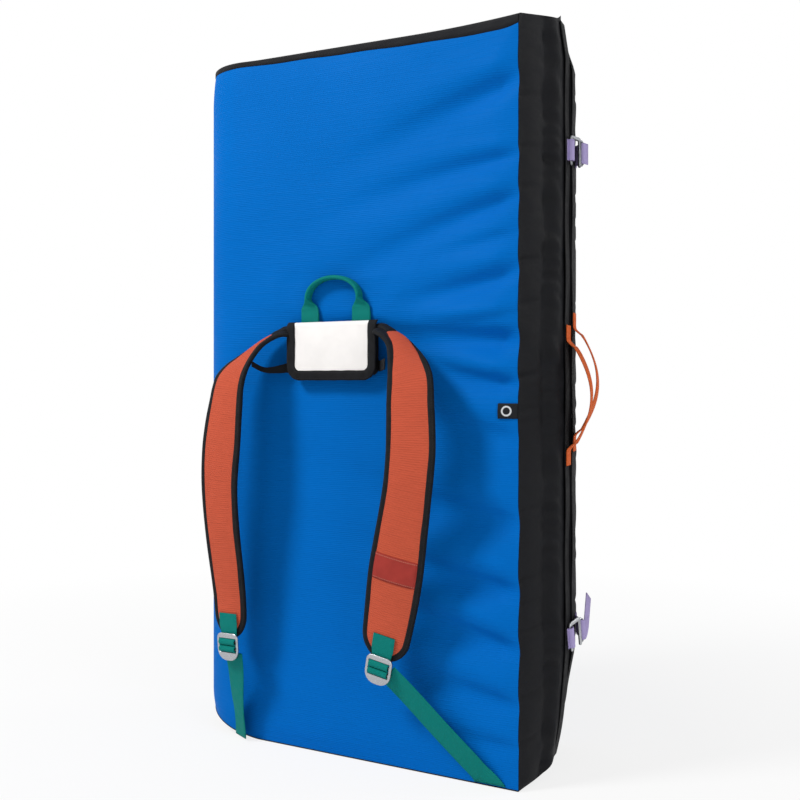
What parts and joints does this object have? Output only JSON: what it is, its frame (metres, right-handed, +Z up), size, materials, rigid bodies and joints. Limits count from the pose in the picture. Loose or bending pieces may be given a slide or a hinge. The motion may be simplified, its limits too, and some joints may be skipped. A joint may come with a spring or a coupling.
{
  "type": "bouldering crash pad",
  "caption": "Folded foam bouldering pad standing on its short side, with padded shoulder straps, a grab handle, side handles and hooked closure straps.",
  "frame": {"origin": "on the floor, in the middle of the short side that the front half stands on", "axes": "+Z up along the pad's length, +X from the fold towards the open ends, -Y out of the face that carries the harness"},
  "size_m": [0.6301, 0.2794, 1.008],
  "materials": {
    "cover_blue": "coated polyester with a fine crosswise rib",
    "cover_black": "black coated polyester, matt",
    "webbing_black": "woven polyester webbing",
    "strap_terracotta": "ribbed strap cloth over thin foam",
    "flap_white": "smooth coated cloth",
    "webbing_green": "woven webbing with ribbed edges",
    "webbing_lilac": "woven webbing",
    "webbing_orange": "woven webbing",
    "cast_metal": "bare cast alloy, satin",
    "open_cell_foam": "open cell foam, inside the cover",
    "closed_cell_foam": "closed cell foam, inside the cover"
  },
  "bodies": {
    "front_half": {"front_core_foam": "open_cell_foam", "front_landing_foam": "closed_cell_foam", "front_ground_panel": "cover_blue", "front_landing_panel": "cover_black", "front_top_gusset": "cover_black", "front_bottom_gusset": "cover_black", "front_end_gusset": "cover_black", "front_edge_tape": "webbing_black", "front_side_handle_upper_tab": "webbing_orange", "front_side_handle_lower_tab": "webbing_orange", "side_label": "webbing_black", "harness_yoke": "webbing_black", "upper_band": "webbing_black", "lower_band": "webbing_black", "grab_handle_left_tab": "webbing_green", "grab_handle_right_tab": "webbing_green", "upper_closure_loop": "webbing_lilac", "lower_closure_loop": "webbing_lilac"},
    "fold_1": {"fold_1_foam": "open_cell_foam", "fold_1_cover": "cover_blue", "fold_1_top_gusset": "cover_black", "fold_1_bottom_gusset": "cover_black"},
    "fold_2": {"fold_2_foam": "open_cell_foam", "fold_2_cover": "cover_blue", "fold_2_top_gusset": "cover_black", "fold_2_bottom_gusset": "cover_black"},
    "fold_3": {"fold_3_foam": "open_cell_foam", "fold_3_cover": "cover_blue", "fold_3_top_gusset": "cover_black", "fold_3_bottom_gusset": "cover_black"},
    "back_half": {"back_core_foam": "open_cell_foam", "back_landing_foam": "closed_cell_foam", "back_ground_panel": "cover_blue", "back_landing_panel": "cover_black", "back_top_gusset": "cover_black", "back_bottom_gusset": "cover_black", "back_end_gusset": "cover_black", "back_edge_tape": "webbing_black", "back_side_handle_upper_tab": "webbing_orange", "back_side_handle_lower_tab": "webbing_orange", "upper_closure_strap": "webbing_lilac", "lower_closure_strap": "webbing_lilac"},
    "yoke_flap": {"yoke_flap": "flap_white", "yoke_flap_binding": "webbing_black"},
    "grab_handle": {"grab_handle": "webbing_green"},
    "front_side_handle": {"front_side_handle_grip": "webbing_orange"},
    "back_side_handle": {"back_side_handle_grip": "webbing_orange"},
    "upper_hook": {"upper_closure_hook": "cast_metal"},
    "lower_hook": {"lower_closure_hook": "cast_metal"},
    "left_strap": {"left_strap_pad": "strap_terracotta", "left_strap_binding": "webbing_black", "left_strap_tab": "webbing_green", "left_buckle": "cast_metal", "left_lower_webbing": "webbing_green"},
    "right_strap": {"right_strap_pad": "strap_terracotta", "right_strap_binding": "webbing_black", "right_strap_tab": "webbing_green", "right_buckle": "cast_metal", "right_lower_webbing": "webbing_green", "right_strap_patch": "strap_terracotta"}
  },
  "joints": [
    {"name": "fold_turn_1", "type": "hinge", "parent": "front_half", "child": "fold_1", "pos_m": [-0.21431, -0.04618, 0.5], "axis": [0, 0, 1], "range_deg": [0, 45]},
    {"name": "fold_turn_2", "type": "hinge", "parent": "fold_1", "child": "fold_2", "pos_m": [-0.27168, 0.01119, 0.5], "axis": [0, 0, 1], "range_deg": [0, 45]},
    {"name": "fold_turn_3", "type": "hinge", "parent": "fold_2", "child": "fold_3", "pos_m": [-0.27168, 0.09231, 0.5], "axis": [0, 0, 1], "range_deg": [0, 45]},
    {"name": "fold_turn_4", "type": "hinge", "parent": "fold_3", "child": "back_half", "pos_m": [-0.21431, 0.14968, 0.5], "axis": [0, 0, 1], "range_deg": [0, 45]},
    {"name": "yoke_flap_lift", "type": "hinge", "parent": "front_half", "child": "yoke_flap", "pos_m": [0, -0.05855, 0.619], "axis": [-1, 0, 0], "range_deg": [0, 80]},
    {"name": "grab_handle_swing", "type": "hinge", "parent": "front_half", "child": "grab_handle", "pos_m": [0, -0.05635, 0.6323], "axis": [1, 0, 0], "range_deg": [0, 50]},
    {"name": "front_side_handle_swing", "type": "hinge", "parent": "front_half", "child": "front_side_handle", "pos_m": [0.3217, 0.0342, 0.515], "axis": [0, 0, 1], "range_deg": [-50, 8]},
    {"name": "back_side_handle_swing", "type": "hinge", "parent": "back_half", "child": "back_side_handle", "pos_m": [0.3217, 0.0693, 0.533], "axis": [0, 0, 1], "range_deg": [-8, 50]},
    {"name": "left_strap_swing", "type": "hinge", "parent": "front_half", "child": "left_strap", "pos_m": [-0.0805, -0.07105, 0.607], "axis": [0.1467, -0.0207, 0.989], "range_deg": [-16, 18], "deforming": ["left_lower_webbing", "upper_band", "lower_band"]},
    {"name": "right_strap_swing", "type": "hinge", "parent": "front_half", "child": "right_strap", "pos_m": [0.0805, -0.07105, 0.607], "axis": [-0.2554, -0.0306, 0.9664], "range_deg": [-15, 18], "deforming": ["right_lower_webbing"]},
    {"name": "upper_hook_swing", "type": "hinge", "parent": "back_half", "child": "upper_hook", "pos_m": [0.32334, 0.06894, 0.847], "axis": [0, 0, 1], "range_deg": [-4, 40], "deforming": ["upper_closure_loop"]},
    {"name": "lower_hook_swing", "type": "hinge", "parent": "back_half", "child": "lower_hook", "pos_m": [0.32334, 0.06857, 0.19357], "axis": [0, -0.2079, 0.9781], "range_deg": [-4, 40], "deforming": ["lower_closure_loop"]}
  ],
  "couplings": [
    {"joint": "fold_turn_2", "follows": "fold_turn_1", "ratio": 1},
    {"joint": "fold_turn_3", "follows": "fold_turn_1", "ratio": 1},
    {"joint": "fold_turn_4", "follows": "fold_turn_1", "ratio": 1}
  ]
}
